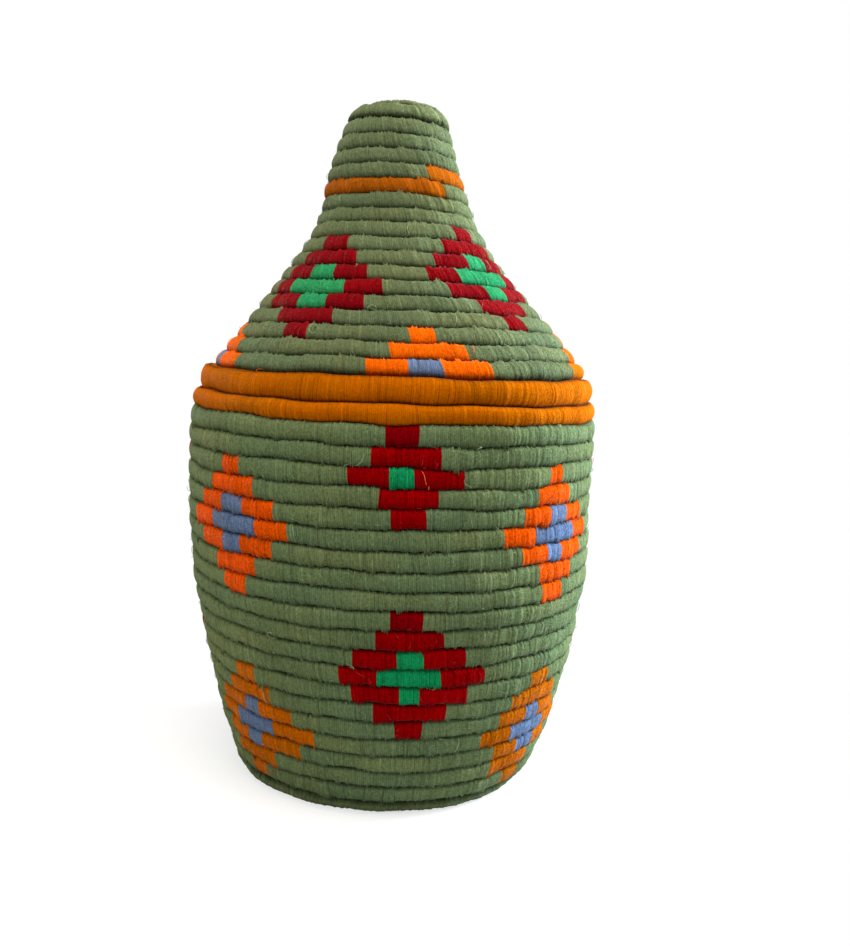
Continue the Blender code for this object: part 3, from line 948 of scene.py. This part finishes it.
def pulled_stitches(rng, slow, run, strands, ragged):
    """How far each strand is pulled out over the edge of its turn."""
    own, shared = rng.random((2, strands))
    pulled = (own + shared[np.arange(strands) // STITCH_GROUP]) / 2
    uneven = 1 + STITCH_UNEVEN * waves(slow, run[::2][:strands], STITCH_WAVE)
    return np.maximum(pulled ** 2 * STITCH * ragged * uneven, 0.0)


def wrapped_points(coil, run, turn, shape, rng, slow):
    """Points round a wrapped coil, on and between its strands, and the painted shade at each of
    them.
    """
    strands = len(run) // 2
    strand = np.minimum(np.arange(len(run)) // 2, strands - 1)
    peak = np.arange(len(run)) % 2
    middle, half, outward, along = coil.frames(turn)
    turned = np.arange(SEGMENTS) / SEGMENTS * 2 * math.pi - math.pi
    angle = turned - CROWDING * np.sin(turned)
    cosine, sine = np.cos(angle), np.sin(angle)
    out, in_line = squared(cosine, shape), squared(sine, shape)
    reach = (half * (1 + waves(slow, run, COIL_WAVE) * COIL_UNEVEN))[:, None]

    height = np.clip(rng.normal(1.0, HEIGHT_SPREAD, strands), *HEIGHT_LIMITS)[strand] * peak
    depth = np.where(rng.random(strands) < DEEP_SHARE, DEEP_VALLEY, 0.0)[strand] * (1 - peak)
    crest = height - depth
    # Painted shade: darker in the valleys between strands and down in the grooves between turns on
    # the outer side, beginning sooner on a turn's lower side
    edge = np.where(in_line * along[:, 1:] < 0, LOWER_EDGE, UPPER_EDGE)
    groove = np.clip((np.abs(in_line) - edge) / (1 - edge), 0.0, 1.0) ** GROOVE_FADE * (cosine > 0)
    groove = np.clip(groove * rng.uniform(*GROOVE_UNEVEN, strands)[strand][:, None], 0.0, 1.0)
    shade = (1 + CREST_SHADE * (crest - 1))[:, None] * (1 - GROOVE_SHADE * groove)

    x = reach * OUTER_BULGE * out + (STRAND_RELIEF * (crest - 1))[:, None] * cosine
    room = half[:, None]
    y = np.clip(reach * shape.pressed * in_line, -room, room * (1 + NESTLE))
    stitches = pulled_stitches(rng, slow, run, strands, shape.ragged)[strand]
    stitches = stitches * (STITCH_VALLEY + (1 - STITCH_VALLEY) * peak)
    teeth = rng.normal(0.0, TOOTH * shape.ragged, strands)[strand] * peak
    for side, pulled in ((1, stitches), (-1, teeth)):
        near = np.exp(-((angle - side * EDGE_PLACE) / EDGE_SPREAD) ** 2) * pulled[:, None]
        x += near * STITCH_RISE
        y += near * side
    x += (waves(slow, run, WANDER_WAVE) * WANDER)[:, None]
    lean = shape.slant + waves(slow, run, LEAN_WAVE) * LEAN
    lean = lean + rng.normal(0.0, STRAND_LEAN, strands)[strand]

    radius = middle[:, :1] + x * outward[:, :1] + y * along[:, :1]
    level = middle[:, 1:] + x * outward[:, 1:] + y * along[:, 1:]
    aside = lean[:, None] * sine / np.maximum(middle[:, :1], LEAST_RADIUS)
    azimuth = np.radians(coil.azimuth(turn))[:, None] + coil.way * aside
    points = np.stack([radius * np.sin(azimuth), -radius * np.cos(azimuth), level], axis=-1)
    return warped(points, coil.warp), shade


def wrap_coil(name, coil, start, stop, shape, slot, seed):
    """One length of a coil, wrapped in yarn strand by strand."""
    rng = np.random.default_rng(seed)
    slow = np.random.default_rng(coil.seed)
    run_start, run_stop = np.interp([start, stop], coil.fine, coil.run)
    columns = 2 * max(2, round((run_stop - run_start) / STRAND)) + 1
    run = np.linspace(run_start, run_stop, columns)
    shift = rng.normal(0.0, STRAND_SHIFT, columns) * STRAND
    shift[[0, -1]] = 0.0
    turn = np.interp(run + shift, coil.run, coil.fine)
    points, shade = wrapped_points(coil, run, turn, shape, rng, slow)

    mesh, vertex, column, segment = wound_mesh(name, columns, SEGMENTS)
    placed = np.zeros((len(mesh.vertices), 3), np.float32)
    placed[vertex] = points[column, segment % SEGMENTS]
    mesh.vertices.foreach_set("co", placed.ravel())
    wrap = np.zeros((len(mesh.loops), 2))
    wrap[:len(column), 0] = run[column]
    wrap[:len(column), 1] = segment / SEGMENTS * math.pi * COIL
    lay_map(mesh, "wrap", wrap)
    lay_map(mesh, "OFBake", bake_rows(len(mesh.loops), column, segment, columns, run))

    peaks = slice(1, columns, 2)
    yarns = coil.dye(turn[peaks], np.random.default_rng(YARN_SEED))
    tints = tinted(rng, slow, yarns, run[peaks])
    sides = tints[column.reshape(-1, 4).min(axis=1) // 2]
    first_corners = set(vertex[column == 0].tolist())
    ends = [tints[0 if end.vertices[0] in first_corners else -1]
            for end in mesh.polygons[len(sides):]]
    # The painted shade at each vertex, darker between strands and in the grooves
    shades = np.ones(len(mesh.vertices))
    shades[vertex] = shade[column, segment % SEGMENTS]
    dye_and_paint_shade(mesh, np.concatenate([sides, ends]), shades)
    return finished(name, mesh, coil.body, slot)


def wrap_lengths(coil, lengths):
    """Wraps the lengths of one coil, each in as many pieces as its strands need."""
    start = coil.end()
    seed = coil.seed
    for node, stop, shape, slot in lengths:
        run_start, run_stop = np.interp([start, stop], coil.fine, coil.run)
        pieces = math.ceil((run_stop - run_start) / STRAND / MOST_STRANDS)
        cuts = np.interp(np.linspace(run_start, run_stop, pieces + 1), coil.run, coil.fine)
        for number, (first, last) in enumerate(zip(cuts, cuts[1:])):
            name = f"{node}_yarn" + (f"_{number + 1}" if pieces > 1 else "")
            seed += 1
            piece = wrap_coil(name, coil, first, last, shape, slot, seed)
            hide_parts(node)
        start = stop


def fibre_lines(coil, shape, turn, angle, clearance, aside):
    """Points of loose fibres that lie on a coil, one fibre to a row of each array."""
    turn = np.broadcast_to(turn[:, None], angle.shape)
    middle, half, outward, along = (
        part.reshape(angle.shape + part.shape[1:]) for part in coil.frames(turn.ravel())
    )
    cosine, sine = np.cos(angle), np.sin(angle)
    x = half * OUTER_BULGE * squared(cosine, shape) + clearance * cosine
    y = half * squared(sine, shape) + clearance * sine
    flat = middle + x[..., None] * outward + y[..., None] * along
    azimuth = np.radians(coil.azimuth(turn)) + aside / flat[..., 0]
    points = [flat[..., 0] * np.sin(azimuth), -flat[..., 0] * np.cos(azimuth), flat[..., 1]]
    return warped(np.stack(points, axis=-1), coil.warp)


def fibre_piece(name, body, lines, thickness, colours):
    """Loose fibres as thin closed tubes along lines of points, each in its own colour."""
    count, steps = lines.shape[:2]
    ahead = unit(np.gradient(lines, axis=1))
    aside = unit(np.cross(ahead, FIBRE_SIDEWAYS))
    across = np.cross(ahead, aside)
    thin = thickness / 2 * (1 - FIBRE_TAPER * np.abs(np.linspace(-1, 1, steps)) ** 3)[:, None]
    turned = np.arange(FIBRE_SIDES) / FIBRE_SIDES * 2 * math.pi
    rings = [
        lines + thin * (math.cos(turn) * aside + math.sin(turn) * across) for turn in turned
    ]
    points = np.stack(rings, axis=2)
    one, vertex, column, segment = wound_mesh(name, steps, FIBRE_SIDES)
    placed = np.zeros((count, len(one.vertices), 3), np.float32)
    placed[:, vertex] = points[:, column, segment % FIBRE_SIDES]
    bm = bmesh.new()
    for _ in range(count):
        bm.from_mesh(one)
    mesh = mesh_of(name, bm)
    mesh.vertices.foreach_set("co", placed.ravel())
    share = np.zeros((count, len(one.loops), 2), np.float32)
    share[:, :len(column), 0] = column / (steps - 1)
    share[:, :len(column), 1] = segment / FIBRE_SIDES
    lay_map(mesh, "wrap", share * FIBRE_MAP_SIZE)
    cells = math.ceil(math.sqrt(count))
    cell = np.stack([np.arange(count) % cells, np.arange(count) // cells], axis=-1)[:, None]
    lay_map(mesh, "OFBake", (cell + FIBRE_MARGIN + (1 - 2 * FIBRE_MARGIN) * share) / cells)
    colours = np.repeat(np.clip(colours, 0.0, 1.0), len(one.polygons), axis=0)
    dye_and_paint_shade(mesh, colours, np.ones(len(mesh.vertices)))
    finished(name, mesh, body, "sage_yarn")


def loose_fibres(name, coil, shape, rows, count):
    """Fine fibres that have come loose from the wraps, all over the outside of some rows."""
    rng = np.random.default_rng(coil.seed + FIBRE_SEED)
    first, last = np.interp([coil.turn(row, BACK_AZIMUTH) for row in rows], coil.fine, coil.run)
    run = np.sort(rng.uniform(first, last, count))
    turn = np.interp(run, coil.run, coil.fine)
    along = np.linspace(0.0, 1.0, FIBRE_STEPS)
    start, sweep, off, slope, curl, phase = rng.normal(0.0, 1.0, (6, count, 1))
    angle = start * FIBRE_PLACE + sweep * FIBRE_SWEEP * (along - 0.5)
    arch = np.sin(math.pi * along * FIBRE_ARCH)
    clearance = FIBRE_CLEARANCE + np.abs(off) * FIBRE_LIFT * arch
    bend = np.sin(FIBRE_BEND * along + FIBRE_BEND_START * phase)
    aside = slope * FIBRE_SLOPE * (along - 0.5) + curl * FIBRE_CURL * bend
    lines = fibre_lines(coil, shape, turn, angle, clearance, aside)
    yarns = coil.dye(turn, np.random.default_rng(YARN_SEED))
    colours = YARN_COLOURS[yarns] * FIBRE_GAIN + FIBRE_PALE
    fibre_piece(name, coil.body, lines, FIBRE, colours)


def loose_loops(name, coil, shape, loops):
    """Ends and loops of yarn that stand off the coil, at their rows and azimuths."""
    row, azimuth, *places = np.array([loop[1:] for loop in loops]).T
    tilt, start, sweep, off, slope, curl = (place[:, None] for place in places)
    along = np.linspace(0.0, 1.0, LOOP_STEPS)
    swing = along * tilt * math.pi
    angle = np.radians(start + sweep * along) + LOOP_ROLL * np.abs(curl) * (np.cos(swing) - 1)
    clearance = LOOP_CLEARANCE + off * np.sin(math.pi * along)
    aside = slope * along + curl * np.sin(swing)
    lines = fibre_lines(coil, shape, coil.turn(row, azimuth), angle, clearance, aside)
    colours = np.array([YARNS[loop[0]] for loop in loops]) * LOOP_GAIN + LOOP_PALE
    fibre_piece(name, coil.body, lines, LOOP, colours)


def heart_knot(name, coil, yarn):
    """The knot of yarn that a coil starts from, in the middle of its spiral."""
    azimuth = math.radians(coil.azimuth(coil.last_turn) + coil.way * KNOT_TURN)
    half = coil.thickness(coil.last_turn) / 2
    bm = bmesh.new()
    bm.loops.layers.uv.new("wrap")
    bmesh.ops.create_uvsphere(
        bm, u_segments=KNOT_RIDGES, v_segments=KNOT_RINGS, radius=1.0, calc_uvs=True
    )
    mesh = mesh_of(name, bm)
    points = np.array([vertex.co for vertex in mesh.vertices])
    around = np.arctan2(points[:, 0], -points[:, 1])
    crest = np.cos(around * KNOT_RIDGES / 2) * np.hypot(points[:, 0], points[:, 1])
    points *= (KNOT_WIDTH * half, KNOT_WIDTH * half, KNOT_HEIGHT * half)
    points *= (1 + KNOT_RELIEF * crest)[:, None]
    aside = KNOT_PLACE * half
    height = coil.middle(coil.last_turn)[1]
    points += (aside * math.sin(azimuth), -aside * math.cos(azimuth), height)
    mesh.vertices.foreach_set("co", warped(points, coil.warp).ravel())
    share = np.zeros((len(mesh.loops), 2), np.float32)
    mesh.uv_layers["wrap"].uv.foreach_get("vector", share.ravel())
    lay_map(mesh, "OFBake", share)
    lay_map(mesh, "wrap", share * KNOT_MAP_SIZE)
    # Painted shade, darker between the knot's ridges
    dye_and_paint_shade(mesh, YARNS[yarn], 1 - KNOT_SHADE + KNOT_SHADE * crest)
    finished(name, mesh, coil.body, "sage_yarn")


def make_body():
    coil = BodyCoil()
    back = coil.turn(0, BACK_AZIMUTH)
    flat = coil.turn_past(coil.profile.length - FOOT_RADIUS + FOOT_BEND)
    rows = math.ceil(flat - back)
    upper, middle = (back + round(rows * share / 3) for share in (1, 2))
    wrap_lengths(coil, [
        ("mouth_coil", back, RIM_SHAPE, "ochre_yarn"),
        ("upper_wall_coil", upper, WALL_SHAPE, "sage_yarn"),
        ("middle_wall_coil", middle, WALL_SHAPE, "sage_yarn"),
        ("lower_wall_coil", back + rows, WALL_SHAPE, "sage_yarn"),
        ("base_coil", coil.last_turn, WALL_SHAPE, "sage_yarn"),
    ])
    heart_knot("base_heart_knot", coil, "sage")
    loose_fibres("basket_loose_fibres", coil, WALL_SHAPE, rows=(1.0, rows - 1.0), count=1100)
    loose_loops("basket_loose_loops", coil, WALL_SHAPE, BODY_LOOPS)


def make_lid():
    coil = LidCoil()
    shoulder = coil.turn_past(coil.profile.distance(CONE_TOP_RADIUS))
    (_, _, rim_end), (_, band_start, band_end) = coil.bands()
    wrap_lengths(coil, [
        ("lid_rim_coil", rim_end, RIM_SHAPE, "ochre_yarn"),
        ("lid_cone_coil", shoulder, LID_SHAPE, "sage_yarn"),
        ("lid_shoulder_coil", band_start, LID_SHAPE, "sage_yarn"),
        ("lid_neck_band_coil", band_end, NECK_SHAPE, "ochre_yarn"),
        ("lid_neck_coil", coil.turn(CROWN_ROW, 0.0), NECK_SHAPE, "sage_yarn"),
        ("lid_crown_coil", coil.last_turn, NECK_SHAPE, "sage_yarn"),
    ])
    heart_knot("lid_heart_knot", coil, "moss")
    loose_fibres("lid_loose_fibres", coil, LID_SHAPE, rows=(2.0, CROWN_ROW - 0.5), count=650)
    loose_loops("lid_loose_loops", coil, LID_SHAPE, LID_LOOPS)
    ring = LocatingRing()
    piece = wrap_coil(
        "lid_locating_coil_yarn", ring, 0.0, 1.0, RIM_SHAPE, "sage_yarn", ring.seed
    )
    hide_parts("lid_locating_coil")


def make_camera():
    data = bpy.data.cameras.new("camera")
    data.sensor_width = SENSOR
    data.lens = FOCAL_PIXELS * SENSOR / PHOTO_HEIGHT
    data.shift_x = (PHOTO_WIDTH / 2 - PRINCIPAL_X) / PHOTO_HEIGHT
    camera = set_out("camera", data)
    tilt = Matrix.Rotation(math.pi / 2 - CAMERA_PITCH, 4, "X")
    turn = Matrix.Rotation(CAMERA_ROLL, 4, "Z")
    camera.matrix_world = (
        Matrix.Translation((0.0, -CAMERA_DISTANCE, CAMERA_HEIGHT)) @ tilt @ turn
    )
    bpy.context.scene.camera = camera


def make_floor():
    """A pale floor that fades to white away from the basket and keeps its shadow."""
    bm = bmesh.new()
    bmesh.ops.create_circle(
        bm, cap_ends=True, cap_tris=False, segments=FLOOR_SIDES, radius=FLOOR_RADIUS
    )
    mesh = mesh_of("floor", bm)
    material = bpy.data.materials.new("pale_floor")
    mesh.materials.append(material)
    nodes = Nodes(material)
    white = nodes.node("Emission", inputs={"Color": WHITE})
    pale = nodes.node("BsdfDiffuse", inputs={"Color": FLOOR_COLOUR})
    bounce = nodes.node("BsdfDiffuse", inputs={"Color": FLOOR_BOUNCE})
    glow = nodes.node("Emission", inputs={"Color": WHITE, "Strength": FLOOR_GLOW})
    bright = nodes.node("AddShader", inputs={0: pale, 1: glow})
    place = nodes.node("TexCoord", output="Object")
    far = nodes.node("VectorMath", {"operation": "LENGTH"}, {"Vector": place}, output="Value")
    fade = nodes.node("MapRange", {"interpolation_type": "SMOOTHSTEP"}, {
        "Value": far, "From Min": FADE_START, "From Max": FADE_END
    }, output="Result")
    seen = nodes.node("MixShader", inputs={0: fade, 1: bright, 2: white})
    shader = nodes.node("MixShader", inputs={0: nodes.straight_rays(), 1: bounce, 2: seen})
    nodes.node("OutputMaterial", inputs={"Surface": shader})
    set_out("floor", mesh)


def make_world():
    """Soft light from all sides, with plain white behind the basket."""
    world = bpy.data.worlds.new("studio")
    bpy.context.scene.world = world
    nodes = Nodes(world)
    ambient = nodes.node("Background", inputs={"Color": AMBIENT_COLOUR, "Strength": AMBIENT})
    white = nodes.node("Background", inputs={"Color": WHITE})
    shader = nodes.node("MixShader", inputs={0: nodes.straight_rays(), 1: ambient, 2: white})
    nodes.node("OutputWorld", inputs={"Surface": shader})


def make_lamp(name, place, width, power, colour):
    data = bpy.data.lights.new(name, "AREA")
    data.shape = "DISK"
    data.size = width
    data.energy = power
    data.color = colour
    lamp = set_out(name, data)
    place = Vector(place)
    facing = (Vector(LAMP_TARGET) - place).to_track_quat("-Z", "Y").to_matrix().to_4x4()
    lamp.matrix_world = Matrix.Translation(place) @ facing


def main():
    bpy.context.scene.view_settings.view_transform = "Standard"
    make_camera()
    make_body()
    make_lid()
    make_floor()
    make_world()
    for name, lamp in LAMPS.items():
        make_lamp(name, *lamp)


main()
